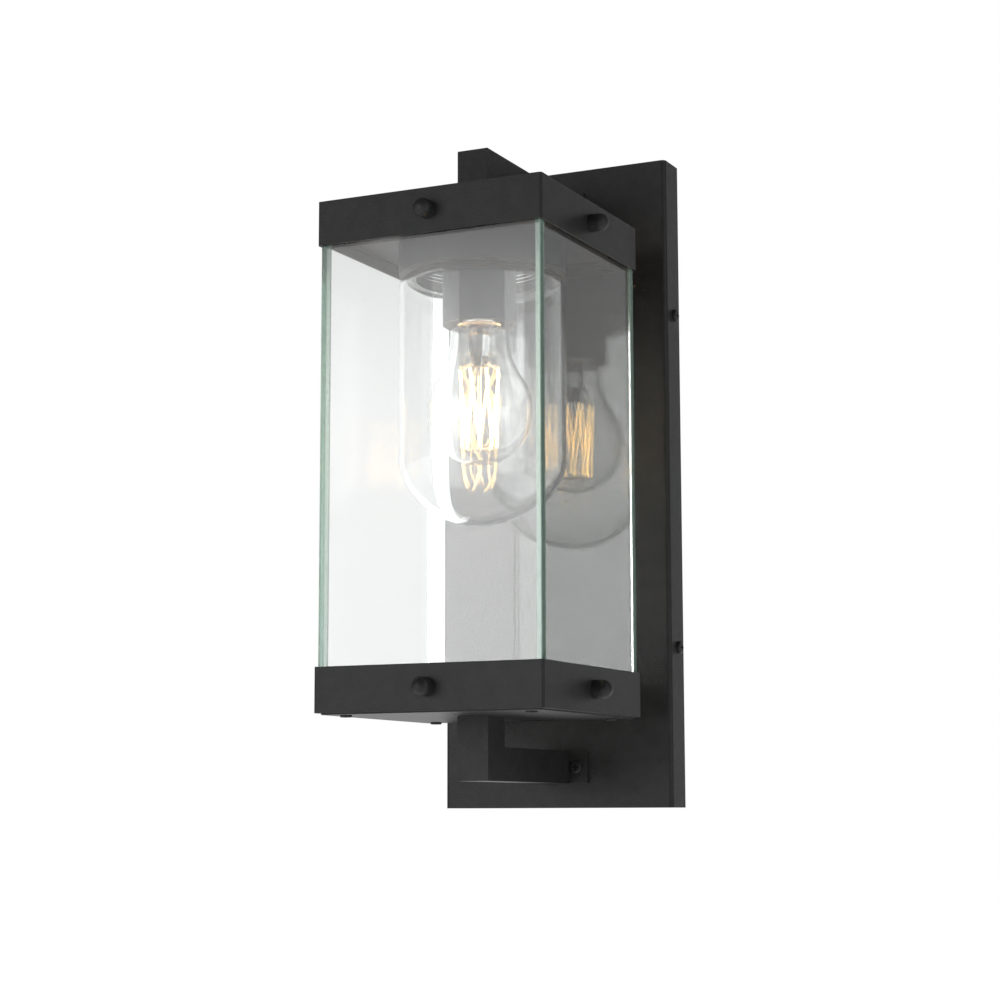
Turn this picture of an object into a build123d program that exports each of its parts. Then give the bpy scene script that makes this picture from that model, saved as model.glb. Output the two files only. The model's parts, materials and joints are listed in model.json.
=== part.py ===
from build123d import *
import math
import os

# Outdoor wall lantern: a glass box with a screw-in lamp in an inner jar, held by a C-shaped arm
# at its top and bottom on a tall wall plate.
# Millimetres. The wall is the plane Y = 0 and the lantern stands out from it towards -Y.
# Z is up, X is to the right of a person who faces the wall, and the origin is the centre of the
# wall plate on the wall. The lantern's top and bottom ends mirror each other about Z = 0.

# Wall plate
plate_width = 164.0
plate_height = 430.0
plate_depth = 23.0
plate_sheet = 1.2
plate_corner = 3.0
plate_end_margin = 16.0

# Lantern box
lantern_width = 153.0
lantern_depth = 147.5
frame_height = 28.0
frame_sheet = 1.2
frame_corner = 1.6
wall_gap = 38.5

# Panes and the pan that stops them inside each frame
pane_thickness = 5.0
pane_gap = 0.6
pane_joint = 0.3
pane_arris = 0.5
gasket_thickness = 1.5
pan_recess = 7.4
pan_sheet = 1.2
pan_leg = 11.0
pan_fit = 0.3

# Arms
arm_width = 21.0
arm_height = 21.0
arm_wall = 1.5
post_depth = 23.5
arm_gap = 19.4
arm_plate_sheet = 1.0
arm_plate_inset = 3.0
foot_width = 46.5
foot_sheet = 2.0
foot_screw_spacing = 31.0

# Knobs
knob_radius = 5.75
knob_straight = 6.5
knob_dome = 5.0
knob_stud = 8.0

# Screws: shank radius, head radius and head height
small_screw = (1.5, 3.0, 1.8)
large_screw = (2.0, 4.0, 2.4)
cover_screw = (1.5, 3.7, 1.3)
screw_slot = 0.9
thread_clearance = 0.08
hole_clearance = 0.3
nut_across_flats = 7.0
nut_thickness = 3.0
standoff_across_flats = 7.0
corner_screw_inset = 14.5

# Bracket on the wall box
bracket_height = 250.0
bracket_sheet = 2.0
bracket_flange = 16.0
bracket_fit = 0.3
bracket_opening_radius = 30.0
box_screw_spacing = 88.9
box_screw_hole_radius = 2.25
side_screw_inset = 14.0
side_screw_y = -8.9

# Jar and its fitter
jar_radius = 51.0
jar_wall = 3.0
jar_shoulder_drop = 20.0
jar_shoulder_radius = 8.0
jar_side_height = 116.0
jar_bowl_height = 43.0
jar_knuckle_radius = 34.0
neck_radius = 42.6
neck_wall = 2.5
neck_rise = 15.5
neck_bead = 1.5
bead_rises = (5.5, 10.0)
fitter_wall = 2.0
fitter_gap = 0.4
fitter_collar_height = 13.0
fitter_clearance = 0.3

# Lampholder
cup_radius = 23.25
cup_wall = 1.2
cup_length = 49.5
core_gap = 0.4
core_recess = 10.0
core_height = 23.5
core_floor = 5.0
shell_wall = 0.5
shell_length = 19.0
shell_clearance = 0.3
contact_radius = 4.5
contact_thickness = 0.8
contact_drop = 2.85
rivet_radius = 1.5
terminal_size = (5.0, 7.0, 3.4)
terminal_offset = 8.0
nipple_radius = 4.9
nipple_bore_radius = 3.8
nipple_drop = 6.0
nipple_rise = 8.0
nipple_nut_across_flats = 14.0
nipple_nut_thickness = 3.2

# Bulb
bulb_radius = 33.5
bulb_belly = 35.5
bulb_widest_drop = 54.0
bulb_side_radius = 45.0
bulb_throat_radius = 18.3
bulb_neck_radius = 12.2
bulb_neck_entry = 5.0
bulb_glass = 0.9
cap_crest_radius = 13.0
cap_root_radius = 12.7
cap_wall = 0.4
cap_pitch = 3.63
cap_turns = 5
insulator_height = 5.4
insulator_tip_radius = 5.2
tip_radius = 4.75
tip_height = 1.5
tip_gap = 0.1
stem_flare_radius = 11.1
stem_radius = 7.0
stem_drop = 27.0
stem_pinch_radius = 4.0
stem_pinch = 9.0
filament_count = 8
filament_radius = 0.8
filament_radii = (13.0, 10.7)
filament_drops = (30.5, 78.0)
filament_twist = 28.0
support_radius = 0.35
rod_radius = 1.2
rod_drop = 81.0

# Wiring
wire_radius = 1.2
wire_offset = 1.6
post_bend = 22.0
plate_bend = 9.0
wire_run_y = -10.5
wire_nut_spread = 13.0
wire_nut_rise = 26.0
wire_nut_length = 24.0
wire_nut_radius = 6.0
wire_nut_end_radius = 4.2
wire_nut_bore_depth = 9.0
bushing_radius = 5.0
bushing_bore_radius = 3.6
bushing_flange_radius = 7.0
bushing_flange = 1.2
ground_x = 40.0
ground_screw_drop = 10.0
ground_nut_rise = 38.0
terminal_lead = (3.0, 5.5)
terminal_bend = 2.5

# Places that follow from the sizes above
half_width = lantern_width / 2
half_depth = lantern_depth / 2
centre_y = -(plate_depth + wall_gap + half_depth)
bar_high = plate_height / 2 - plate_end_margin
bar_low = bar_high - arm_height
bar_z = (bar_low + bar_high) / 2
frame_end = bar_low - arm_gap
skirt_z = frame_end - frame_height
knob_z = skirt_z + frame_height / 2
pan_face = skirt_z + pan_recess
pan_back = pan_face + pan_sheet
pane_end = pan_face - gasket_thickness
sheet_inside = frame_end - frame_sheet
arm_plate_end = frame_end + arm_plate_sheet
post_back_y = centre_y + post_depth / 2
foot_front_y = -(plate_depth + foot_sheet)
pane_half_x = half_width - frame_sheet - pane_gap
pane_half_y = half_depth - frame_sheet - pane_gap
pan_half_x = half_width - frame_sheet - pan_fit
pan_half_y = half_depth - frame_sheet - pan_fit
corner_x = half_width - corner_screw_inset
corner_y = half_depth - corner_screw_inset
side_screw_z = bracket_height / 2 - side_screw_inset
jar_shoulder_z = pan_face - jar_shoulder_drop
jar_bend_z = jar_shoulder_z - jar_side_height
neck_top_z = jar_shoulder_z + neck_rise
fitter_low = jar_shoulder_z + fitter_gap
fitter_disc = pan_face - fitter_wall
collar_radius = neck_radius + neck_bead + fitter_clearance
cup_top = fitter_disc
cup_mouth_z = cup_top - cup_length
core_low_z = cup_mouth_z + core_recess
core_top_z = core_low_z + core_height
nipple_low_z = cup_top - nipple_drop
core_radius = cup_radius - cup_wall - core_gap
shell_radius = cap_crest_radius + shell_clearance
contact_low = core_top_z - core_floor - contact_drop
tip_top = contact_low - tip_gap
insulator_top = tip_top - tip_height
cap_top_z = insulator_top - insulator_height
bulb_neck_z = cap_top_z - cap_turns * cap_pitch
bulb_shoulder = bulb_throat_radius - bulb_neck_radius
bulb_throat_z = bulb_neck_z - bulb_shoulder
bulb_widest_z = bulb_neck_z - bulb_widest_drop
bulb_low_z = bulb_widest_z - bulb_belly
stem_low_z = bulb_neck_z - stem_drop
filament_top = (filament_radii[0], bulb_neck_z - filament_drops[0])
filament_low = (filament_radii[1], bulb_neck_z - filament_drops[1])
rod_low_z = bulb_neck_z - rod_drop
ground_screw_z = -(bracket_opening_radius + ground_screw_drop)
ground_nut_z = ground_screw_z + ground_nut_rise
wire_nut_top_z = bracket_opening_radius + wire_nut_rise


def block(x, y, z):
    """Box between two corners, given as (low, high) pairs."""
    size = Box(x[1] - x[0], y[1] - y[0], z[1] - z[0])
    return Pos((x[0] + x[1]) / 2, (y[0] + y[1]) / 2, (z[0] + z[1]) / 2) * size


def prism(half_x, half_y, z, radius=0.0):
    """Upright block centred on the lantern's axis, with rounded vertical corners."""
    outline = Rectangle(2 * half_x, 2 * half_y)
    if radius > 0:
        outline = RectangleRounded(2 * half_x, 2 * half_y, radius)
    return Pos(0, centre_y, z[0]) * extrude(outline, z[1] - z[0])


def rod(radius, start, end):
    """Cylinder between two points."""
    length = (Vector(*end) - Vector(*start)).length
    base = Plane(origin=start, z_dir=Vector(*end) - Vector(*start))
    return base * Cylinder(radius, length, align=(Align.CENTER, Align.CENTER, Align.MIN))


def turned(edges):
    """Solid of revolution about the lantern's axis, from edges in (radius, height)."""
    return Pos(0, centre_y, 0) * revolve(Plane.XZ * make_face(edges), Axis.Z)


def turned_polygon(points):
    """Solid of revolution about the lantern's axis, from (radius, height) corners."""
    return turned(Polyline(*points, close=True))


def screw(sizes, length):
    """Pan-head screw along Z: the head stands above Z = 0 and the shank goes down."""
    shank_radius, head_radius, head_height = sizes
    head = Pos(0, 0, head_height / 2) * Cylinder(head_radius, head_height)
    head = fillet(head.edges().sort_by(Axis.Z)[-1], head_height * 0.55)
    for turn in (0, 90):
        slot = Rot(0, 0, turn) * Box(head_radius * 1.2, screw_slot, head_height)
        head -= Pos(0, 0, head_height) * slot
    return head + Pos(0, 0, -length / 2) * Cylinder(shank_radius, length)


def hex_nut(across_flats, thickness, bore_radius):
    """Hexagonal nut along Z, standing on Z = 0."""
    outline = RegularPolygon(across_flats / 2, 6, major_radius=False) - Circle(bore_radius)
    return extrude(outline, thickness)


def facing(origin, direction):
    """Plane at a point whose Z axis points along a direction."""
    return Plane(origin=origin, z_dir=direction)


def upside_down(shapes):
    """Mirror images of top-end shapes at the lantern's bottom end."""
    return [mirror(shape, about=Plane.XY) for shape in shapes]


def corner_points():
    """X and Y of the four corner screws that hold a frame together."""
    return [(sx * corner_x, centre_y + sy * corner_y) for sx in (-1, 1) for sy in (-1, 1)]


def knob_seats():
    """Name, outward direction and skirt face centre of the four knobs round a frame."""
    return [
        ("front", (0, -1, 0), (0, centre_y - half_depth, knob_z)),
        ("rear", (0, 1, 0), (0, centre_y + half_depth, knob_z)),
        ("left", (-1, 0, 0), (-half_width, centre_y, knob_z)),
        ("right", (1, 0, 0), (half_width, centre_y, knob_z)),
    ]


def inwards(point, direction, distance):
    """A point moved against a direction."""
    return tuple(p - d * distance for p, d in zip(point, direction))


# Wall side

def wall_plate():
    """Open-backed pan with rounded front edges, holes for the arms, screws and the wiring."""
    outer_x = plate_width / 2
    outer_z = plate_height / 2
    outer = block((-outer_x, outer_x), (-plate_depth, 0), (-outer_z, outer_z))
    front_edges = outer.edges().filter_by(Axis.Z).group_by(Axis.Y)[0]
    outer = fillet(front_edges, plate_corner)
    inner_x = outer_x - plate_sheet
    inner_z = outer_z - plate_sheet
    inner = block((-inner_x, inner_x), (plate_sheet - plate_depth, 1), (-inner_z, inner_z))
    inner_edges = inner.edges().filter_by(Axis.Z).group_by(Axis.Y)[0]
    inner = fillet(inner_edges, plate_corner - plate_sheet)
    pan = outer - inner
    shank = large_screw[0] + hole_clearance
    for side in (-1, 1):
        for level in (-1, 1):
            z = level * side_screw_z
            inside = (side * (inner_x - 1), side_screw_y, z)
            pan -= rod(shank, inside, (side * (outer_x + 1), side_screw_y, z))
            x = side * foot_screw_spacing / 2
            pan -= rod(shank, (x, -plate_depth - 1, level * bar_z), (x, 0, level * bar_z))
    return pan - rod(bushing_radius, (0, -plate_depth - 1, bar_z), (0, 0, bar_z))


def mounting_bracket():
    """Channel that screws to the wall box; its flanges take the wall plate's side screws."""
    half = plate_width / 2 - plate_sheet - bracket_fit
    tall = (-bracket_height / 2, bracket_height / 2)
    channel = block((-half, half), (-bracket_sheet, 0), tall)
    channel -= rod(bracket_opening_radius, (0, -bracket_sheet - 1, 0), (0, 1, 0))
    for side in (-1, 1):
        flange_x = sorted((side * half, side * (half - bracket_sheet)))
        channel += block(flange_x, (-bracket_flange, 0), tall)
        x = side * box_screw_spacing / 2
        channel -= rod(box_screw_hole_radius, (x, -bracket_sheet - 1, 0), (x, 1, 0))
        for level in (-1, 1):
            z = level * side_screw_z
            inside = (side * (half - bracket_sheet - 1), side_screw_y, z)
            channel -= rod(large_screw[0] + hole_clearance, inside, (side * (half + 1), side_screw_y, z))
    ground_start = (ground_x, -bracket_sheet - 1, ground_screw_z)
    return channel - rod(large_screw[0] + thread_clearance, ground_start, (ground_x, 1, ground_screw_z))


def side_fasteners():
    """Screws through the wall plate's sides, and the nuts welded inside the bracket's flanges."""
    screws, nuts = [], []
    reach = plate_sheet + bracket_fit + bracket_sheet + nut_thickness + 1
    for side in (-1, 1):
        for level in (-1, 1):
            z = level * side_screw_z
            face = facing((side * plate_width / 2, side_screw_y, z), (side, 0, 0))
            screws.append(face * screw(large_screw, reach))
            inside = plate_width / 2 - plate_sheet - bracket_fit - bracket_sheet
            seat = facing((side * inside, side_screw_y, z), (-side, 0, 0))
            nuts.append(seat * hex_nut(nut_across_flats, nut_thickness, large_screw[0] + thread_clearance))
    return screws, nuts


def ground_screw():
    """Grounding screw in the bracket, with the wire's ring under its head."""
    head_y = -(bracket_sheet + 2 * wire_radius)
    return facing((ground_x, head_y, ground_screw_z), (0, -1, 0)) * screw(large_screw, -head_y)


def grommet(back, front, direction):
    """Rubber bushing through a hole, with a flange on the side that direction points to."""
    tube = rod(bushing_radius - 0.05, back, front)
    flange_end = tuple(f + d * bushing_flange for f, d in zip(front, direction))
    tube += rod(bushing_flange_radius, front, flange_end)
    before = inwards(back, direction, 1)
    after = tuple(f + d for f, d in zip(flange_end, direction))
    return tube - rod(bushing_bore_radius, before, after)


# Arms

def arm_bar():
    """Square tube from the foot to the post."""
    half = arm_width / 2
    bore = half - arm_wall
    span = (post_back_y, foot_front_y)
    bar = block((-half, half), span, (bar_low, bar_high))
    bore_z = (bar_low + arm_wall, bar_high - arm_wall)
    return bar - block((-bore, bore), (span[0] - 1, span[1] + 1), bore_z)


def arm_post():
    """Square tube from the arm plate to the bar, closed at its outer end, with a window to the bar."""
    half = arm_width / 2
    bore = half - arm_wall
    post = prism(half, post_depth / 2, (arm_plate_end, bar_high))
    post -= prism(bore, post_depth / 2 - arm_wall, (arm_plate_end - 1, bar_high - arm_wall))
    window = (bar_low + arm_wall, bar_high - arm_wall)
    return post - block((-bore, bore), (post_back_y - arm_wall - 1, post_back_y + 1), window)


def arm_foot():
    """Flange between the bar and the wall plate."""
    foot = block((-foot_width / 2, foot_width / 2), (foot_front_y, -plate_depth), (bar_low, bar_high))
    foot -= rod(bushing_radius, (0, foot_front_y - 1, bar_z), (0, 0, bar_z))
    for side in (-1, 1):
        x = side * foot_screw_spacing / 2
        foot -= rod(large_screw[0] + hole_clearance, (x, foot_front_y - 1, bar_z), (x, 0, bar_z))
    return foot


def foot_fasteners():
    """Two screws through the foot and the wall plate, with their nuts inside the plate."""
    screws, nuts = [], []
    reach = foot_sheet + plate_sheet + nut_thickness + 1
    for side in (-1, 1):
        x = side * foot_screw_spacing / 2
        screws.append(facing((x, foot_front_y, bar_z), (0, -1, 0)) * screw(large_screw, reach))
        seat = facing((x, plate_sheet - plate_depth, bar_z), (0, 1, 0))
        nuts.append(seat * hex_nut(nut_across_flats, nut_thickness, large_screw[0] + thread_clearance))
    return screws, nuts


def arm_plate():
    """Plate under the post that the corner screws clamp to the frame."""
    half_x = half_width - arm_plate_inset
    half_y = half_depth - arm_plate_inset
    plate = prism(half_x, half_y, (frame_end, arm_plate_end), frame_corner)
    plate -= rod(bushing_radius, (0, centre_y, frame_end - 1), (0, centre_y, arm_plate_end + 1))
    for x, y in corner_points():
        plate -= rod(small_screw[0] + hole_clearance, (x, y, frame_end - 1), (x, y, arm_plate_end + 1))
    return plate


# Frames and panes

def frame():
    """Folded cap: a skirt round the panes and an end sheet, with knob and screw holes."""
    shell = prism(half_width, half_depth, (skirt_z, frame_end), frame_corner)
    inner_corner = frame_corner - frame_sheet
    hollow = (skirt_z - 1, sheet_inside)
    shell -= prism(half_width - frame_sheet, half_depth - frame_sheet, hollow, inner_corner)
    shell -= rod(bushing_radius, (0, centre_y, sheet_inside - 1), (0, centre_y, frame_end + 1))
    for x, y in corner_points():
        shell -= rod(small_screw[0] + hole_clearance, (x, y, sheet_inside - 1), (x, y, frame_end + 1))
    return drilled_for_knobs(shell)


def drilled_for_knobs(shape):
    """Shape with the clearance holes of the four knob studs."""
    for _, direction, seat in knob_seats():
        outside = inwards(seat, direction, -1)
        shape -= rod(large_screw[0] + hole_clearance, outside, inwards(seat, direction, knob_stud))
    return shape


def pan(with_nipple):
    """Folded pan inside a frame: it stops the panes, and its legs take the knobs' studs."""
    shell = prism(pan_half_x, pan_half_y, (pan_face, pan_back + pan_leg))
    shell -= prism(pan_half_x - pan_sheet, pan_half_y - pan_sheet, (pan_back, pan_back + pan_leg + 1))
    for x, y in corner_points():
        shell -= rod(small_screw[0] + hole_clearance, (x, y, pan_face - 1), (x, y, pan_back + 1))
    if with_nipple:
        hole = nipple_radius + hole_clearance
        shell -= rod(hole, (0, centre_y, pan_face - 1), (0, centre_y, pan_back + 1))
    return drilled_for_knobs(shell)


def standoffs():
    """Hexagonal standoffs between the end sheet and the pan, tapped right through."""
    nut = hex_nut(standoff_across_flats, sheet_inside - pan_back, small_screw[0] + thread_clearance)
    return [Pos(x, y, pan_back) * nut for x, y in corner_points()]


def corner_screws():
    """Screws into both ends of the standoffs: from outside the arm plate and from below the pan."""
    bite = (sheet_inside - pan_back) / 2 - 1
    outer = screw(cover_screw, arm_plate_sheet + frame_sheet + bite)
    inner = screw(small_screw, pan_sheet + bite)
    outside = [facing((x, y, arm_plate_end), (0, 0, 1)) * outer for x, y in corner_points()]
    inside = [facing((x, y, pan_face), (0, 0, -1)) * inner for x, y in corner_points()]
    return outside, inside


def pane(x, y):
    """Upright pane with polished arrises on its four upright edges."""
    glass = block(x, y, (-pane_end, pane_end))
    return chamfer(glass.edges().filter_by(Axis.Z), pane_arris)


def panes():
    """Front and rear panes over the full width, and side panes between them."""
    front = (centre_y - pane_half_y, centre_y - pane_half_y + pane_thickness)
    rear = (centre_y + pane_half_y - pane_thickness, centre_y + pane_half_y)
    side = (front[1] + pane_joint, rear[0] - pane_joint)
    right = (pane_half_x - pane_thickness, pane_half_x)
    left = (-right[1], -right[0])
    full = (-pane_half_x, pane_half_x)
    return {
        "glass_front": pane(full, front),
        "glass_rear": pane(full, rear),
        "glass_left": pane(left, side),
        "glass_right": pane(right, side),
    }


def pane_gasket():
    """Flat rubber ring between the panes' ends and the pan."""
    ring = prism(pane_half_x, pane_half_y, (pane_end, pan_face))
    inner_x = pane_half_x - pane_thickness
    inner_y = pane_half_y - pane_thickness
    return ring - prism(inner_x, inner_y, (pane_end - 1, pan_face + 1))


def knob():
    """Domed knob along Z with its stud below Z = 0."""
    dome_radius = (knob_radius ** 2 + knob_dome ** 2) / (2 * knob_dome)
    top = knob_straight + knob_dome
    rim_angle = math.asin(knob_radius / dome_radius) / 2
    middle_z = top - dome_radius * (1 - math.cos(rim_angle))
    middle = (dome_radius * math.sin(rim_angle), middle_z)
    stud = large_screw[0]
    rim = (knob_radius, knob_straight)
    corners = Polyline((0, top), (0, -knob_stud), (stud, -knob_stud), (stud, 0), (knob_radius, 0), rim)
    dome = ThreePointArc(rim, middle, (0, top))
    return revolve(Plane.XZ * make_face([corners, dome]), Axis.Z)


def knob_nuts():
    """Nuts welded to the pan's legs behind the knobs."""
    inset = frame_sheet + pan_fit + pan_sheet
    nut = hex_nut(nut_across_flats, nut_thickness, large_screw[0] + thread_clearance)
    return [
        facing(inwards(seat, direction, inset), tuple(-d for d in direction)) * nut
        for _, direction, seat in knob_seats()
    ]


# Jar and lampholder

def dish(radius, height, knuckle, widest_z, inset):
    """Dished bottom from the axis out to the vertical side: a crown arc tangent to a knuckle arc."""
    side = radius - knuckle
    crown = (height ** 2 + side ** 2 - knuckle ** 2) / (2 * (height - knuckle))
    crown_z = widest_z - height + crown
    turn = math.degrees(math.atan2(widest_z - crown_z, side))
    if knuckle > crown:
        turn = math.degrees(math.atan2(crown_z - widest_z, -side))
    return [
        CenterArc((0, crown_z), crown - inset, -90, turn + 90),
        CenterArc((side, widest_z), knuckle - inset, turn, -turn),
    ]


def corner_arc(centre, radius, outwards):
    """Quarter circle up from the vertical side to the flat top of a shoulder, or back down."""
    slant = radius * math.sqrt(0.5)
    side = (centre[0] + radius, centre[1])
    middle = (centre[0] + slant, centre[1] + slant)
    top = (centre[0], centre[1] + radius)
    return ThreePointArc(side, middle, top) if outwards else ThreePointArc(top, middle, side)


def neck_edges():
    """Outside of the jar's neck, with a round bead at each level."""
    edges = []
    low = (neck_radius, jar_shoulder_z)
    for level in (jar_shoulder_z + rise for rise in bead_rises):
        under = (neck_radius, level - neck_bead)
        over = (neck_radius, level + neck_bead)
        edges.append(Line(low, under))
        edges.append(ThreePointArc(under, (neck_radius + neck_bead, level), over))
        low = over
    edges.append(Line(low, (neck_radius, neck_top_z)))
    return edges


def glass_jar():
    """Clear jar with a bowl-shaped bottom, a rounded shoulder and a beaded neck."""
    inner = jar_radius - jar_wall
    bore = neck_radius - neck_wall
    low = jar_bend_z - jar_bowl_height
    bowl = (jar_radius, jar_bowl_height, jar_knuckle_radius, jar_bend_z)
    bend = (jar_radius - jar_shoulder_radius, jar_shoulder_z - jar_shoulder_radius)
    inner_shoulder = jar_shoulder_z - jar_wall
    edges = neck_edges() + dish(*bowl, 0) + dish(*bowl, jar_wall) + [
        Line((bend[0], jar_shoulder_z), (neck_radius, jar_shoulder_z)),
        Line((neck_radius, neck_top_z), (bore, neck_top_z)),
        Polyline((bore, neck_top_z), (bore, inner_shoulder), (bend[0], inner_shoulder)),
        corner_arc(bend, jar_shoulder_radius - jar_wall, False),
        Line((inner, bend[1]), (inner, jar_bend_z)),
        Line((0, low + jar_wall), (0, low)),
        Line((jar_radius, jar_bend_z), (jar_radius, bend[1])),
        corner_arc(bend, jar_shoulder_radius, True),
    ]
    return turned(edges)


def jar_fitter():
    """Spun fitter under the ceiling: a disc, a skirt, and an inner collar for the jar's neck."""
    inner = jar_radius - fitter_wall
    collar_top = fitter_low + fitter_collar_height
    hole = nipple_radius + hole_clearance
    return turned_polygon([
        (hole, pan_face), (jar_radius, pan_face), (jar_radius, fitter_low), (collar_radius, fitter_low),
        (collar_radius, collar_top), (collar_radius + fitter_wall, collar_top),
        (collar_radius + fitter_wall, fitter_low + fitter_wall), (inner, fitter_low + fitter_wall),
        (inner, fitter_disc), (hole, fitter_disc),
    ])


def jar_gasket():
    """Rubber ring between the jar's neck and the fitter's disc."""
    bore = neck_radius - neck_wall
    return turned_polygon([
        (bore, neck_top_z), (neck_radius, neck_top_z), (neck_radius, fitter_disc), (bore, fitter_disc),
    ])


def socket_cup():
    """Metal cup round the lampholder, open at the bottom."""
    inner = cup_radius - cup_wall
    hole = nipple_radius + hole_clearance
    return turned_polygon([
        (hole, cup_top), (cup_radius, cup_top), (cup_radius, cup_mouth_z), (inner, cup_mouth_z),
        (inner, cup_top - cup_wall), (hole, cup_top - cup_wall),
    ])


def socket_core():
    """Porcelain body that holds the screw shell and the centre contact."""
    bore = shell_radius + shell_wall + thread_clearance
    floor_z = core_top_z - core_floor
    hole = rivet_radius + thread_clearance
    return turned_polygon([
        (hole, core_top_z), (core_radius, core_top_z), (core_radius, core_low_z), (bore, core_low_z),
        (bore, floor_z), (hole, floor_z),
    ])


def core_ears():
    """Two porcelain ears that key the core in the cup."""
    ear = []
    for side in (-1, 1):
        x = sorted((side * (core_radius - 1), side * (core_radius + core_gap / 2)))
        ear.append(block(x, (centre_y - 2, centre_y + 2), (core_low_z, core_top_z)))
    return ear


def screw_shell():
    """Brass shell that takes the bulb's cap."""
    floor_z = core_top_z - core_floor
    outer = shell_radius + shell_wall
    hole = contact_radius + 1.5
    low_z = floor_z - shell_length
    return turned_polygon([
        (hole, floor_z), (outer, floor_z), (outer, low_z), (shell_radius, low_z),
        (shell_radius, floor_z - shell_wall), (hole, floor_z - shell_wall),
    ])


def centre_contact():
    """Brass contact under the porcelain floor, with its rivet."""
    return turned_polygon([
        (0, contact_low), (contact_radius, contact_low), (contact_radius, contact_low + contact_thickness),
        (rivet_radius, contact_low + contact_thickness), (rivet_radius, core_top_z), (0, core_top_z),
    ])


def socket_terminals():
    """Brass terminals on top of the porcelain."""
    wide, deep, tall = terminal_size
    terminal = Box(wide, deep, tall)
    return [Pos(side * terminal_offset, centre_y, core_top_z + tall / 2) * terminal for side in (-1, 1)]


def nipple():
    """Threaded tube that clamps the cup, the fitter and the ceiling pan, and takes the wires."""
    high_z = pan_back + nipple_rise
    tube = rod(nipple_radius, (0, centre_y, nipple_low_z), (0, centre_y, high_z))
    return tube - rod(nipple_bore_radius, (0, centre_y, nipple_low_z - 1), (0, centre_y, high_z + 1))


def nipple_nuts():
    """Nuts inside the cup and above the ceiling pan."""
    nut = hex_nut(nipple_nut_across_flats, nipple_nut_thickness, nipple_radius + thread_clearance)
    inside_cup = cup_top - cup_wall - nipple_nut_thickness
    return [Pos(0, centre_y, inside_cup) * nut, Pos(0, centre_y, pan_back) * nut]


# Bulb

def bulb_curve(inset):
    """Bulb's outline from the bottom to the neck, moved inwards by inset."""
    rise = bulb_throat_z - bulb_widest_z
    throat = bulb_throat_radius
    waist = (rise ** 2 + throat ** 2 - bulb_radius ** 2) / (2 * (bulb_radius - throat))
    turn = math.degrees(math.atan2(rise, throat + waist))
    belly = dish(bulb_radius, bulb_widest_z - bulb_low_z, bulb_side_radius, bulb_widest_z, inset)
    return belly + [
        CenterArc((0, bulb_widest_z), bulb_radius - inset, 0, turn),
        CenterArc((throat + waist, bulb_throat_z), waist + inset, 180 + turn, -turn),
        CenterArc((bulb_neck_radius, bulb_throat_z), bulb_shoulder - inset, 0, 90),
    ]


def bulb_envelope():
    """Blown glass, open at the top of its neck inside the cap."""
    neck_top = bulb_neck_z + bulb_neck_entry
    bore = bulb_neck_radius - bulb_glass
    neck = (bulb_neck_radius, bulb_neck_z)
    inner_z = bulb_neck_z - bulb_glass
    inner = [(bore, inner_z), (bulb_neck_radius, inner_z)]
    mouth = Polyline(neck, (bulb_neck_radius, neck_top), (bore, neck_top), *inner)
    bottom = Line((0, bulb_low_z), (0, bulb_low_z + bulb_glass))
    return turned(bulb_curve(0) + [mouth] + bulb_curve(bulb_glass) + [bottom])


def bulb_cap():
    """Rolled screw cap, its thread stood for by round ridges one pitch apart."""
    bore = cap_root_radius - cap_wall
    edges = []
    for turn in range(cap_turns):
        low = bulb_neck_z + turn * cap_pitch
        middle = (cap_crest_radius, low + cap_pitch / 2)
        edges.append(ThreePointArc((cap_root_radius, low), middle, (cap_root_radius, low + cap_pitch)))
    top = (cap_root_radius, cap_top_z)
    low = (cap_root_radius, bulb_neck_z)
    edges.append(Polyline(top, (bore, cap_top_z), (bore, bulb_neck_z), low))
    return turned(edges)


def bulb_insulator():
    """Black glass cone at the end of the cap."""
    rim = cap_root_radius - 0.5
    return turned_polygon([
        (0, cap_top_z), (rim, cap_top_z), (insulator_tip_radius, insulator_top), (0, insulator_top),
    ])


def bulb_contact():
    """Solder contact at the bulb's tip."""
    chamfered = tip_radius - tip_height / 2
    return turned_polygon([
        (0, insulator_top), (tip_radius, insulator_top), (tip_radius, insulator_top + tip_height / 2),
        (chamfered, tip_top), (0, tip_top),
    ])


def bulb_stem():
    """Flared glass stem sealed into the neck, with the rod that carries the filaments."""
    flare_z = bulb_neck_z + bulb_neck_entry
    return turned_polygon([
        (0, flare_z), (stem_flare_radius, flare_z), (stem_flare_radius, flare_z - 1),
        (stem_radius + 1, bulb_neck_z - 1), (stem_radius, stem_low_z + stem_pinch),
        (stem_pinch_radius, stem_low_z),
        (rod_radius, stem_low_z), (rod_radius, rod_low_z), (0, rod_low_z),
    ])


def around(radius, angle, z):
    """Point at a radius and angle, in degrees, about the lantern's axis."""
    turn = math.radians(angle)
    return (radius * math.cos(turn), centre_y + radius * math.sin(turn), z)


def bulb_filaments():
    """Slanted filaments in a cage, each leaning round the stem by the same angle."""
    top_radius, top_z = filament_top
    low_radius, low_z = filament_low
    step = 360 / filament_count
    filaments = []
    for i in range(filament_count):
        top = around(top_radius, i * step, top_z)
        filaments.append(rod(filament_radius, top, around(low_radius, i * step + filament_twist, low_z)))
    return filaments


def filament_supports():
    """Radial wires that hold the filaments' ends, from the stem above and the rod below."""
    top_radius, top_z = filament_top
    low_radius, low_z = filament_low
    step = 360 / filament_count
    clear = filament_radius + support_radius + 0.1
    wires = []
    for i in range(filament_count):
        angle = i * step
        stem_side = around(stem_pinch_radius + 1.1, angle, stem_low_z + 2)
        wires.append(rod(support_radius, stem_side, around(top_radius - 0.3, angle, top_z + clear)))
        angle += filament_twist
        rod_side = around(rod_radius + 0.1, angle, low_z - clear)
        wires.append(rod(support_radius, rod_side, around(low_radius, angle, low_z - clear)))
    return wires


# Wiring

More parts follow.
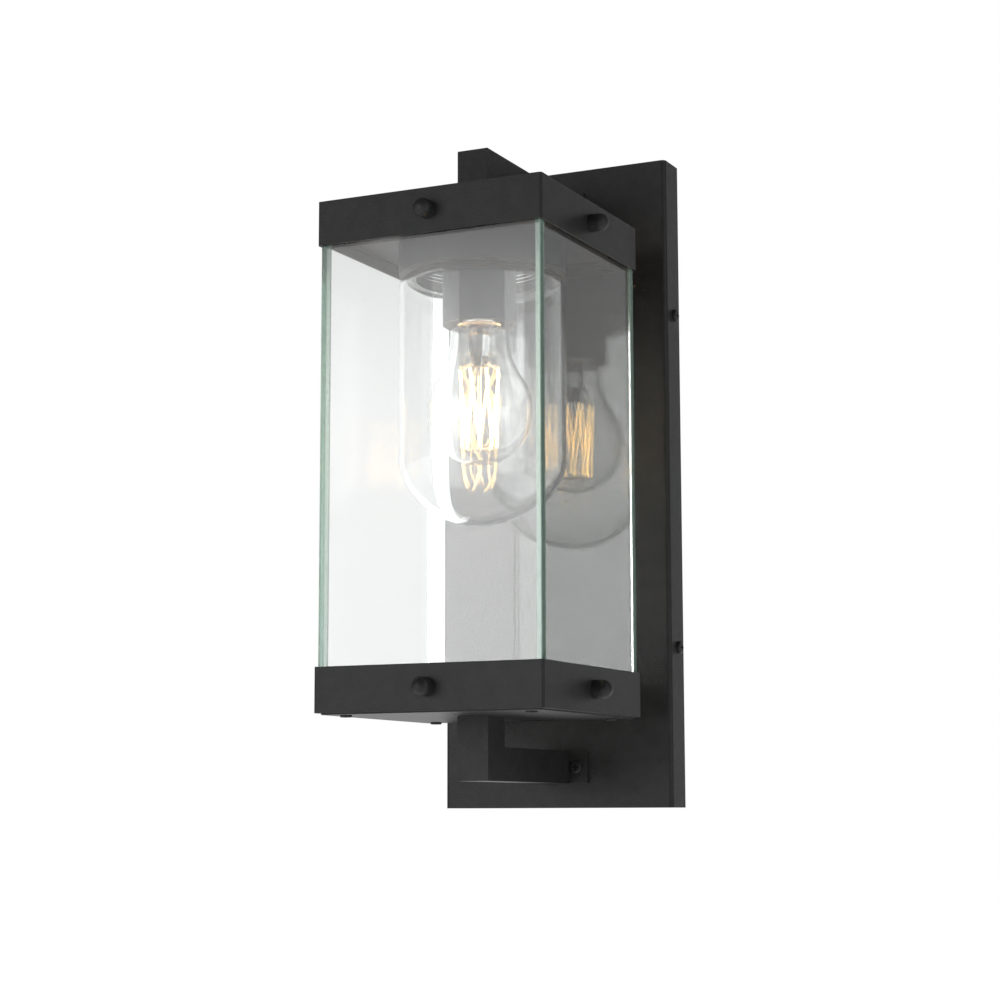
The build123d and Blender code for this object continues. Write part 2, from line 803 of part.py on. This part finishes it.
def swept(points, radii):
    """Round wire along straight runs joined by tangent arcs."""
    path = FilletPolyline(*points, radius=radii)
    section = Plane(origin=path @ 0, z_dir=path % 0) * Circle(wire_radius)
    return sweep(section, path=path)


def supply_wire(side):
    """Wire from a socket terminal, up the nipple and post, along the bar, to its wire nut."""
    terminal_top = core_top_z + terminal_size[2]
    start_x = side * terminal_offset
    x = side * wire_offset
    nut_x = side * wire_nut_spread
    end_z = wire_nut_top_z - wire_nut_bore_depth + 0.5
    points = [
        (start_x, centre_y, terminal_top),
        (start_x, centre_y, terminal_top + terminal_lead[0]),
        (x, centre_y, terminal_top + terminal_lead[1]),
        (x, centre_y, bar_z),
        (x, wire_run_y, bar_z),
        (x, wire_run_y, wire_nut_top_z + 70),
        (nut_x, wire_run_y, wire_nut_top_z + 30),
        (nut_x, wire_run_y, end_z),
    ]
    return swept(points, [terminal_bend, terminal_bend, post_bend, plate_bend, 40, 40])


def ground_wire():
    """Wire from beside the ground screw up to its wire nut."""
    rest_y = -(bracket_sheet + wire_radius)
    start = (ground_x, rest_y, ground_screw_z + large_screw[0] + wire_radius + 0.2)
    end_z = ground_nut_z + wire_nut_bore_depth - 0.5
    points = [
        start,
        (ground_x, rest_y, ground_screw_z + 11),
        (ground_x, wire_run_y, ground_screw_z + 24),
        (ground_x, wire_run_y, end_z),
    ]
    return swept(points, [10, 10])


def wire_nut(mouth, direction):
    """Tapered twist-on connector with a blind bore at its mouth."""
    base = facing(mouth, direction)
    cone = Rot(180, 0, 0) * Cone(wire_nut_radius, wire_nut_end_radius, wire_nut_length)
    body = base * Pos(0, 0, -wire_nut_length / 2) * cone
    bore = base * Pos(0, 0, -wire_nut_bore_depth / 2) * Cylinder(wire_radius + 0.15, wire_nut_bore_depth)
    return body - bore


def wire_nuts():
    """Connectors of the two supply wires and the ground wire."""
    nuts = [
        wire_nut((side * wire_nut_spread, wire_run_y, wire_nut_top_z), (0, 0, 1))
        for side in (-1, 1)
    ]
    return nuts + [wire_nut((ground_x, wire_run_y, ground_nut_z), (0, 0, -1))]


def save(name, shapes):
    """Write one node's STEP file from its separate solids."""
    solids = [solid for shape in shapes for solid in shape.solids()]
    shape = solids[0] if len(solids) == 1 else Compound(solids)
    shape.label = name
    export_step(shape, f"parts/{name}.step")


def both_ends(shapes):
    """Shapes of the top end and their mirror images at the bottom end."""
    return shapes + upside_down(shapes)


def build():
    """All nodes of the lantern, by name."""
    side_screws, bracket_nuts = side_fasteners()
    foot_screws, foot_nuts = foot_fasteners()
    outside_screws, inside_screws = corner_screws()
    plate_grommet = grommet((0, foot_front_y, bar_z), (0, plate_sheet - plate_depth, bar_z), (0, 1, 0))
    cap_grommet = grommet((0, centre_y, arm_plate_end), (0, centre_y, sheet_inside), (0, 0, -1))
    nodes = {
        "wall_plate": [wall_plate()],
        "mounting_bracket": [mounting_bracket()],
        "side_screws": side_screws,
        "bracket_nuts": bracket_nuts,
        "ground_screw": [ground_screw()],
        "wire_bushings": [plate_grommet, cap_grommet],
        "foot_screws": both_ends(foot_screws),
        "foot_nuts": both_ends(foot_nuts),
        "frame_standoffs": both_ends(standoffs()),
        "plate_screws": both_ends(outside_screws),
        "pan_screws": both_ends(inside_screws),
        "pane_gaskets": both_ends([pane_gasket()]),
        "knob_nuts": both_ends(knob_nuts()),
        "cap_frame": [frame()],
        "tray_frame": upside_down([frame()]),
        "ceiling_pan": [pan(True)],
        "floor_pan": upside_down([pan(False)]),
        "glass_jar": [glass_jar()],
        "jar_fitter": [jar_fitter()],
        "jar_gasket": [jar_gasket()],
        "socket_cup": [socket_cup()],
        "socket_core": [socket_core().fuse(*core_ears())],
        "screw_shell": [screw_shell()],
        "centre_contact": [centre_contact()],
        "socket_terminals": socket_terminals(),
        "nipple": [nipple()],
        "nipple_nuts": nipple_nuts(),
        "bulb_envelope": [bulb_envelope()],
        "bulb_cap": [bulb_cap()],
        "bulb_insulator": [bulb_insulator()],
        "bulb_contact": [bulb_contact()],
        "bulb_stem": [bulb_stem()],
        "bulb_filaments": bulb_filaments(),
        "filament_supports": filament_supports(),
        "live_wire": [supply_wire(-1)],
        "neutral_wire": [supply_wire(1)],
        "ground_wire": [ground_wire()],
        "wire_nuts": wire_nuts(),
    }
    arm = {"bar": arm_bar(), "post": arm_post(), "foot": arm_foot(), "plate": arm_plate()}
    for name, shape in arm.items():
        nodes[f"upper_arm_{name}"] = [shape]
        nodes[f"lower_arm_{name}"] = upside_down([shape])
    for name, direction, seat in knob_seats():
        turned_out = facing(seat, direction) * knob()
        nodes[f"knob_cap_{name}"] = [turned_out]
        nodes[f"knob_tray_{name}"] = upside_down([turned_out])
    for name, glass in panes().items():
        nodes[name] = [glass]
    return nodes


os.makedirs("parts", exist_ok=True)
for node_name, node_shapes in build().items():
    save(node_name, node_shapes)
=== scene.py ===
import json
import math

import bmesh
import bpy
from mathutils import Matrix, Vector


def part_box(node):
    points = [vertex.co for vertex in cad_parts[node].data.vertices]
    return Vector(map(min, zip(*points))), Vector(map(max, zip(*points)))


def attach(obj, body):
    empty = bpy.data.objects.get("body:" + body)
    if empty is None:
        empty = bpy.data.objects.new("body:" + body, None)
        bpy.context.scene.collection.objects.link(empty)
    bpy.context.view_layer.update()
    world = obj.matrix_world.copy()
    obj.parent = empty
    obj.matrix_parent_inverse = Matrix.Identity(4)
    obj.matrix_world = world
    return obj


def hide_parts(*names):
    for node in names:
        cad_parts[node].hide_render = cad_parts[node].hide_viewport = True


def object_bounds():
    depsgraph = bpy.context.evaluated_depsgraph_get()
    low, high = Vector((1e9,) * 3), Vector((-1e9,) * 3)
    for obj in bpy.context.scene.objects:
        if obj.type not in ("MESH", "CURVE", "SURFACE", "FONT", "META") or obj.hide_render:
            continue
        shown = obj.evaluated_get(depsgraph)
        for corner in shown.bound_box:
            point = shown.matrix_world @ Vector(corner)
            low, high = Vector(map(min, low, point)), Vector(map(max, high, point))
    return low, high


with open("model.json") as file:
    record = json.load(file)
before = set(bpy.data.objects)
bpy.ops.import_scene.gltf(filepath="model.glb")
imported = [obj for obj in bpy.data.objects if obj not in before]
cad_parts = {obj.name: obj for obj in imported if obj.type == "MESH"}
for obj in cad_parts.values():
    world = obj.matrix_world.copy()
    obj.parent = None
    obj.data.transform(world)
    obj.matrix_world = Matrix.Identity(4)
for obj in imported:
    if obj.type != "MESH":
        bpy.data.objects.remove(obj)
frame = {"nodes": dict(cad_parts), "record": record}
cad_low, cad_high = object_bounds()
nodes = frame["nodes"]

# The lantern's axis and the places that the turned pieces are built round, in metres
jar_low, jar_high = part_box("glass_jar")
bulb_low, bulb_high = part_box("bulb_envelope")
axis_y = (jar_low[1] + jar_high[1]) / 2
segments = 128

# The bulb's widest level, and its neck's radius, its neck's foot and its glass
bulb_widest_z = 0.033
bulb_neck, bulb_neck_z = 0.0122, 0.087
bulb_wall = 0.0009


# Materials

def new_material(name):
    """Empty node material with its output."""
    material = bpy.data.materials.new(name)
    material.use_nodes = True
    tree = material.node_tree
    tree.nodes.clear()
    output = tree.nodes.new("ShaderNodeOutputMaterial")
    return material, tree, output


def principled(tree, **values):
    """Principled shader with named sockets set."""
    shader = tree.nodes.new("ShaderNodeBsdfPrincipled")
    for name, value in values.items():
        shader.inputs[name.replace("_", " ")].default_value = value
    return shader


def noise(tree, scale, detail=3.0, roughness=0.55):
    """Noise in object coordinates, its scale in features per metre."""
    where = tree.nodes.new("ShaderNodeTexCoord")
    texture = tree.nodes.new("ShaderNodeTexNoise")
    texture.inputs["Scale"].default_value = scale
    texture.inputs["Detail"].default_value = detail
    texture.inputs["Roughness"].default_value = roughness
    tree.links.new(where.outputs["Object"], texture.inputs["Vector"])
    return texture.outputs["Fac"]


def remap(tree, value, low, high):
    """Value from 0..1 spread to low..high."""
    node = tree.nodes.new("ShaderNodeMapRange")
    node.inputs["To Min"].default_value = low
    node.inputs["To Max"].default_value = high
    tree.links.new(value, node.inputs["Value"])
    return node.outputs["Result"]


def blend_colours(tree, value, first, second):
    """Colour from first to second as value goes from 0 to 1."""
    ramp = tree.nodes.new("ShaderNodeValToRGB")
    ramp.color_ramp.elements[0].position = 0.3
    ramp.color_ramp.elements[1].position = 0.7
    ramp.color_ramp.elements[0].color = (*first, 1)
    ramp.color_ramp.elements[1].color = (*second, 1)
    tree.links.new(value, ramp.inputs["Fac"])
    return ramp.outputs["Color"]


def fade(tree, value, start, end, low, high):
    """Value eased from low to high between start and end."""
    node = tree.nodes.new("ShaderNodeMapRange")
    node.interpolation_type = "SMOOTHSTEP"
    for name, number in (("From Min", start), ("From Max", end), ("To Min", low), ("To Max", high)):
        node.inputs[name].default_value = number
    tree.links.new(value, node.inputs["Value"])
    return node.outputs["Result"]


def part_along(tree, vector, axis):
    """One axis of a vector."""
    parts = tree.nodes.new("ShaderNodeSeparateXYZ")
    tree.links.new(vector, parts.inputs["Vector"])
    return parts.outputs[axis]


def maths(tree, operation, first, second=None):
    """One maths step on a value, and on a second value or number where there is one."""
    node = tree.nodes.new("ShaderNodeMath")
    node.operation = operation
    tree.links.new(first, node.inputs[0])
    if isinstance(second, float):
        node.inputs[1].default_value = second
    elif second is not None:
        tree.links.new(second, node.inputs[1])
    return node.outputs["Value"]


def bump(tree, height, strength, distance):
    """Bump normal from a height."""
    node = tree.nodes.new("ShaderNodeBump")
    node.inputs["Strength"].default_value = strength
    node.inputs["Distance"].default_value = distance
    tree.links.new(height, node.inputs["Height"])
    return node.outputs["Normal"]


def grained(name, dark, light, grain, rough, depth, metallic=0.0, specular=0.5):
    """Opaque material with a fine grain, slow colour variation and uneven gloss."""
    material, tree, output = new_material(name)
    shader = principled(tree, Metallic=metallic, Specular_IOR_Level=specular)
    colour = blend_colours(tree, noise(tree, grain * 0.08), dark, light)
    tree.links.new(colour, shader.inputs["Base Color"])
    tree.links.new(remap(tree, noise(tree, grain * 0.25), *rough), shader.inputs["Roughness"])
    tree.links.new(bump(tree, noise(tree, grain), 0.6, depth), shader.inputs["Normal"])
    tree.links.new(shader.outputs["BSDF"], output.inputs["Surface"])
    return material


def lit_through(tree, glass):
    """Glass that lets the lamps' light straight through."""
    path = tree.nodes.new("ShaderNodeLightPath")
    clear = tree.nodes.new("ShaderNodeBsdfTransparent")
    clear.inputs["Color"].default_value = (0.93, 0.95, 0.94, 1)
    mix = tree.nodes.new("ShaderNodeMixShader")
    tree.links.new(path.outputs["Is Shadow Ray"], mix.inputs["Fac"])
    tree.links.new(glass, mix.inputs[1])
    tree.links.new(clear.outputs["BSDF"], mix.inputs[2])
    return mix.outputs["Shader"]


def clear_glass(name, tint, index, waviness=0.0, wave_scale=20.0):
    """Clear glass, a little uneven where it is blown."""
    material, tree, output = new_material(name)
    clear = {"Roughness": 0.0, "IOR": index, "Transmission_Weight": 1.0}
    glass = principled(tree, Base_Color=(*tint, 1), **clear)
    if waviness > 0:
        uneven = bump(tree, noise(tree, wave_scale, 1.0), 0.35, waviness)
        tree.links.new(uneven, glass.inputs["Normal"])
    tree.links.new(lit_through(tree, glass.outputs["BSDF"]), output.inputs["Surface"])
    return material


def pane_glass(name, face_axis):
    """Float glass: clear through its faces, green and a little frosted at its polished edges."""
    material, tree, output = new_material(name)
    index = 1.52
    clear = {"Roughness": 0.0, "IOR": index, "Transmission_Weight": 1.0}
    face = principled(tree, Base_Color=(0.985, 0.995, 0.99, 1), **clear)
    edge = principled(tree, IOR=index, Transmission_Weight=0.8)
    tint = blend_colours(tree, noise(tree, 60.0), (0.44, 0.68, 0.56), (0.54, 0.78, 0.66))
    tree.links.new(tint, edge.inputs["Base Color"])
    tree.links.new(remap(tree, noise(tree, 400.0), 0.02, 0.1), edge.inputs["Roughness"])
    geometry = tree.nodes.new("ShaderNodeNewGeometry")
    facing = maths(tree, "ABSOLUTE", part_along(tree, geometry.outputs["True Normal"], face_axis))
    mix = tree.nodes.new("ShaderNodeMixShader")
    tree.links.new(maths(tree, "LESS_THAN", facing, 0.9), mix.inputs["Fac"])
    tree.links.new(lit_through(tree, face.outputs["BSDF"]), mix.inputs[1])
    tree.links.new(edge.outputs["BSDF"], mix.inputs[2])
    tree.links.new(mix.outputs["Shader"], output.inputs["Surface"])
    return material


def glowing(name, colour, strength):
    """Filament: hot all along, its roughness a little uneven in places."""
    material, tree, output = new_material(name)
    shader = principled(tree, Base_Color=(0.3, 0.2, 0.1, 1), Roughness=0.5)
    shader.inputs["Emission Color"].default_value = (*colour, 1)
    shader.inputs["Emission Strength"].default_value = strength
    tree.links.new(remap(tree, noise(tree, 900.0), 0.4, 0.7), shader.inputs["Roughness"])
    tree.links.new(shader.outputs["BSDF"], output.inputs["Surface"])
    return material


# Name, darkest and lightest colour, then grains per metre, range of roughness and depth of grain
coat = grained(
    "powder_coat", (0.012, 0.0122, 0.0125), (0.017, 0.0172, 0.0175),
    1300.0, (0.36, 0.46), 0.0003, specular=0.2)
zinc = grained(
    "zinc_steel", (0.42, 0.42, 0.40), (0.60, 0.60, 0.58),
    500.0, (0.25, 0.45), 0.00002, metallic=1.0)
rubber = grained(
    "rubber", (0.012, 0.012, 0.012), (0.022, 0.022, 0.022),
    800.0, (0.6, 0.8), 0.00004)
brass = grained(
    "brass", (0.62, 0.42, 0.16), (0.78, 0.56, 0.24),
    600.0, (0.25, 0.4), 0.00001, metallic=1.0)
nickel = grained(
    "nickel", (0.62, 0.60, 0.56), (0.74, 0.72, 0.68),
    600.0, (0.22, 0.36), 0.00001, metallic=1.0)
porcelain = grained(
    "porcelain", (0.74, 0.72, 0.67), (0.80, 0.78, 0.73),
    300.0, (0.1, 0.2), 0.00003)
vitrite = grained(
    "vitrite", (0.01, 0.008, 0.014), (0.03, 0.02, 0.035),
    300.0, (0.08, 0.2), 0.00002)
green_steel = grained(
    "green_steel", (0.02, 0.20, 0.06), (0.03, 0.26, 0.08),
    700.0, (0.3, 0.45), 0.00002)
yellow_plastic = grained(
    "yellow_plastic", (0.72, 0.42, 0.03), (0.80, 0.50, 0.05),
    900.0, (0.35, 0.5), 0.00003)
black_wire = grained(
    "black_wire", (0.012, 0.012, 0.012), (0.02, 0.02, 0.02),
    900.0, (0.35, 0.5), 0.00002)
white_wire = grained(
    "white_wire", (0.70, 0.69, 0.66), (0.78, 0.77, 0.74),
    900.0, (0.35, 0.5), 0.00002)
green_wire = grained(
    "green_wire", (0.02, 0.20, 0.05), (0.03, 0.26, 0.07),
    900.0, (0.35, 0.5), 0.00002)
jar_glass = clear_glass("jar_glass", (0.985, 0.99, 0.99), 1.48, 0.00008, 22.0)
bulb_glass = clear_glass("bulb_glass", (0.99, 0.99, 0.985), 1.5)
filament_glow = glowing("filament_glow", (1.0, 0.66, 0.26), 16.0)

by_slot = {
    "black_coat": coat,
    "zinc_steel": zinc,
    "black_rubber": rubber,
    "green_steel": green_steel,
    "green_wire": green_wire,
    "black_wire": black_wire,
    "white_wire": white_wire,
    "yellow_plastic": yellow_plastic,
    "jar_glass": jar_glass,
    "bulb_glass": bulb_glass,
    "porcelain": porcelain,
    "brass": brass,
    "bulb_metal": nickel,
    "black_vitrite": vitrite,
    "filament": filament_glow,
    "support_wire": nickel,
}
pane_faces = {"glass_front": "Y", "glass_rear": "Y", "glass_left": "X", "glass_right": "X"}
pane_materials = {axis: pane_glass(f"pane_glass_{axis.lower()}", axis) for axis in ("X", "Y")}


def dress_frame():
    """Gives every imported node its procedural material."""
    slots = {part["node"]: part["material_slot"] for part in frame["record"]["subparts"]}
    for name, piece in nodes.items():
        material = pane_materials[pane_faces[name]] if name in pane_faces else by_slot[slots[name]]
        piece.data.materials.clear()
        piece.data.materials.append(material)


# Turned pieces

def arc(centre, radius, start, end, steps):
    """Points (radius, height) along an arc, its angles in degrees."""
    points = []
    for i in range(steps + 1):
        turn = math.radians(start + (end - start) * i / steps)
        points.append((centre[0] + radius * math.cos(turn), centre[1] + radius * math.sin(turn)))
    return points


def dish(radius, height, knuckle, widest_z, inset, steps):
    """Dished bottom from the axis out to the vertical side, as a crown arc and a knuckle arc.

    The arcs meet on the line through their centres, past the centre of the smaller one.
    """
    side = radius - knuckle
    crown = (height ** 2 + side ** 2 - knuckle ** 2) / (2 * (height - knuckle))
    crown_z = widest_z - height + crown
    away = -1 if knuckle > crown else 1
    turn = math.degrees(math.atan2(away * (widest_z - crown_z), away * side))
    low = arc((0, crown_z), crown - inset, -90, turn, steps)
    return low + arc((side, widest_z), knuckle - inset, turn, 0, steps)[1:]


def turned(name, outline, material, body, sharp=25.0):
    """Smooth surface of revolution about the lantern's axis, sharp where its outline turns sharply."""
    same = 1e-6
    clean = [outline[0]]
    for point in outline[1:]:
        if math.dist(point, clean[-1]) > same:
            clean.append(point)
    mesh = bmesh.new()
    rings = []
    for radius, height in clean:
        if radius < same:
            rings.append([mesh.verts.new((0, axis_y, height))])
            continue
        ring = []
        for i in range(segments):
            turn = 2 * math.pi * i / segments
            across, along = radius * math.cos(turn), radius * math.sin(turn)
            ring.append(mesh.verts.new((across, axis_y + along, height)))
        rings.append(ring)
    closed = len(rings[0]) > 1
    pairs = list(zip(rings, rings[1:])) + ([(rings[-1], rings[0])] if closed else [])
    for low, high in pairs:
        for i in range(segments):
            j = (i + 1) % segments
            corners = [low[i % len(low)], low[j % len(low)], high[j % len(high)], high[i % len(high)]]
            face = mesh.faces.new(list(dict.fromkeys(corners)))
            face.smooth = True
    bmesh.ops.recalc_face_normals(mesh, faces=mesh.faces)
    for edge in mesh.edges:
        if len(edge.link_faces) == 2 and edge.calc_face_angle() > math.radians(sharp):
            edge.smooth = False
    data = bpy.data.meshes.new(name)
    mesh.to_mesh(data)
    mesh.free()
    data.materials.append(material)
    piece = bpy.data.objects.new(name, data)
    bpy.context.scene.collection.objects.link(piece)
    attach(piece, body)
    return piece


def make_jar():
    """The inner jar, with the same outline as its CAD solid."""
    radius = (jar_high[0] - jar_low[0]) / 2
    wall = 0.003
    shoulder, shoulder_z = 0.008, 0.118
    bend_z, knuckle = 0.002, 0.034
    neck, neck_wall = 0.0426, 0.0025
    bead, bead_levels = 0.0015, (0.1235, 0.128)
    height = bend_z - jar_low[2]
    bend = radius - shoulder
    outer = dish(radius, height, knuckle, bend_z, 0, 24)
    outer += arc((bend, shoulder_z - shoulder), shoulder, 0, 90, 14)
    for level in bead_levels:
        outer += [(neck, level - bead)] + arc((neck, level), bead, -90, 90, 10)
    outer += [(neck, jar_high[2]), (neck - neck_wall, jar_high[2])]
    inner = dish(radius, height, knuckle, bend_z, wall, 24)
    inner += arc((bend, shoulder_z - shoulder), shoulder - wall, 0, 90, 14)
    inner += [(neck - neck_wall, shoulder_z - wall)]
    jar = turned("inner_jar", outer + inner[::-1], jar_glass, "lantern")
    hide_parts("glass_jar")


def bulb_outline(inset, steps=24):
    """Bulb's outline from the bottom, past its shoulder, to the foot of its neck."""
    radius = (bulb_high[0] - bulb_low[0]) / 2
    side, throat = 0.045, 0.0183
    throat_z = bulb_neck_z - (throat - bulb_neck)
    rise = throat_z - bulb_widest_z
    waist = (rise ** 2 + throat ** 2 - radius ** 2) / (2 * (radius - throat))
    turn = math.degrees(math.atan2(rise, throat + waist))
    outline = dish(radius, bulb_widest_z - bulb_low[2], side, bulb_widest_z, inset, steps)
    outline += arc((0, bulb_widest_z), radius - inset, 0, turn, steps)[1:]
    outline += arc((throat + waist, throat_z), waist + inset, 180 + turn, 180, steps)[1:]
    outline += arc((bulb_neck, throat_z), throat - bulb_neck - inset, 0, 90, 12)[1:]
    return outline


def make_bulb():
    """The bulb's blown envelope."""
    bore = bulb_neck - bulb_wall
    mouth = [(bulb_neck, bulb_high[2]), (bore, bulb_high[2]), (bore, bulb_neck_z - bulb_wall)]
    outline = bulb_outline(0) + mouth + bulb_outline(bulb_wall)[::-1]
    envelope = turned("bulb_glass_envelope", outline, bulb_glass, "bulb")
    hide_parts("bulb_envelope")


# Stage

def make_floor():
    """Pale floor well below the lantern."""
    half, drop = 14.0, 0.75
    bpy.ops.mesh.primitive_plane_add(size=2 * half, location=(0, 0, cad_low[2] - drop))
    floor = bpy.context.object
    floor.name = "studio_floor"
    material, tree, output = new_material("pale_floor")
    glow = {"Emission_Color": (1, 1, 1, 1), "Emission_Strength": 0.93}
    shader = principled(tree, Roughness=0.8, **glow)
    colour = blend_colours(tree, noise(tree, 3.0), (0.80, 0.80, 0.80), (0.84, 0.84, 0.84))
    tree.links.new(colour, shader.inputs["Base Color"])
    tree.links.new(shader.outputs["BSDF"], output.inputs["Surface"])
    floor.data.materials.append(material)


def make_world():
    """White to the camera, and dimmer through glass and as light.

    Through glass it is darker in front of the lantern than behind it.
    """
    room_strength, front_strength, behind_strength = 0.14, 0.35, 0.8
    world = bpy.data.worlds.new("studio")
    bpy.context.scene.world = world
    world.use_nodes = True
    tree = world.node_tree
    tree.nodes.clear()
    output = tree.nodes.new("ShaderNodeOutputWorld")
    path = tree.nodes.new("ShaderNodeLightPath")
    to_camera = path.outputs["Is Camera Ray"]
    mix = tree.nodes.new("ShaderNodeMixShader")
    seen = maths(tree, "MAXIMUM", to_camera, path.outputs["Is Transmission Ray"])
    tree.links.new(seen, mix.inputs["Fac"])
    room, white = (tree.nodes.new("ShaderNodeBackground") for _ in range(2))
    for place, light in ((1, room), (2, white)):
        light.inputs["Color"].default_value = (1, 1, 1, 1)
        tree.links.new(light.outputs["Background"], mix.inputs[place])
    room.inputs["Strength"].default_value = room_strength
    where = tree.nodes.new("ShaderNodeTexCoord")
    ahead = part_along(tree, where.outputs["Generated"], "Y")
    behind = fade(tree, ahead, -0.5, 0.5, front_strength, behind_strength)
    tree.links.new(maths(tree, "MAXIMUM", behind, to_camera), white.inputs["Strength"])
    tree.links.new(mix.outputs["Shader"], output.inputs["Surface"])


def softbox(name, place, target, size, radiance):
    """Large soft white light that faces a point, as bright as radiance all over."""
    data = bpy.data.lights.new(name, "AREA")
    data.shape = "RECTANGLE"
    data.size, data.size_y = size
    data.energy = radiance * math.pi * size[0] * size[1]
    light = bpy.data.objects.new(name, data)
    light.location = place
    light.rotation_euler = (Vector(target) - Vector(place)).to_track_quat("-Z", "Y").to_euler()
    light.visible_camera = False
    bpy.context.scene.collection.objects.link(light)
    return data


def grade(light, low, high, start, end):
    """Makes a softbox's brightness go from low to high between two heights."""
    light.use_nodes = True
    tree = light.node_tree
    emission = next(node for node in tree.nodes if node.type == "EMISSION")
    where = tree.nodes.new("ShaderNodeNewGeometry")
    height = part_along(tree, where.outputs["Position"], "Z")
    tree.links.new(fade(tree, height, start, end, low, high), emission.inputs["Strength"])


def make_lights():
    """Softboxes at the front left, the right and behind, and the lamp's own warm light."""
    centre = (0, axis_y, 0)
    key = softbox("key", (-1.32, -3.04, 0.4), (0.2, 0, 0.4), (2.6, 1.8), 1.0)
    grade(key, 3.4, 0.7, 0.55, 1.22)
    softbox("fill", (2.2, -0.6, 0.5), centre, (1.2, 2.0), 1.7)
    softbox("rim", (0.63, 2.5, 0.5), centre, (0.66, 1.4), 0.9)
    data = bpy.data.lights.new("lamp_glow", "POINT")
    data.energy = 0.7
    data.color = (1.0, 0.6, 0.3)
    data.shadow_soft_size = 0.012
    glow = bpy.data.objects.new("lamp_glow", data)
    glow.location = (0, axis_y, bulb_widest_z)
    for kind in ("camera", "glossy", "transmission"):
        setattr(glow, f"visible_{kind}", False)
    bpy.context.scene.collection.objects.link(glow)


def make_camera():
    """Camera low at the right, looking up at the lantern."""
    place = Vector((0.6149, -1.3830, -0.2204))
    yaw, pitch, roll = math.radians(25.742), math.radians(8.025), math.radians(-0.119)
    data = bpy.data.cameras.new("view")
    data.sensor_width = 36.0
    data.lens = 80.78
    data.clip_end = 50.0
    camera = bpy.data.objects.new("view", data)
    turn = Matrix.Rotation(yaw, 4, "Z") @ Matrix.Rotation(math.pi / 2 + pitch, 4, "X")
    camera.matrix_world = Matrix.Translation(place) @ turn @ Matrix.Rotation(roll, 4, "Z")
    bpy.context.scene.collection.objects.link(camera)
    bpy.context.scene.camera = camera


def set_look():
    """Plain colours and enough bounces for glass behind glass."""
    scene = bpy.context.scene
    scene.view_settings.view_transform = "Standard"
    scene.cycles.max_bounces = 24
    scene.cycles.transmission_bounces = 20
    scene.cycles.glossy_bounces = 10
    scene.cycles.transparent_max_bounces = 24


dress_frame()
make_jar()
make_bulb()
make_floor()
make_world()
make_lights()
make_camera()
set_look()
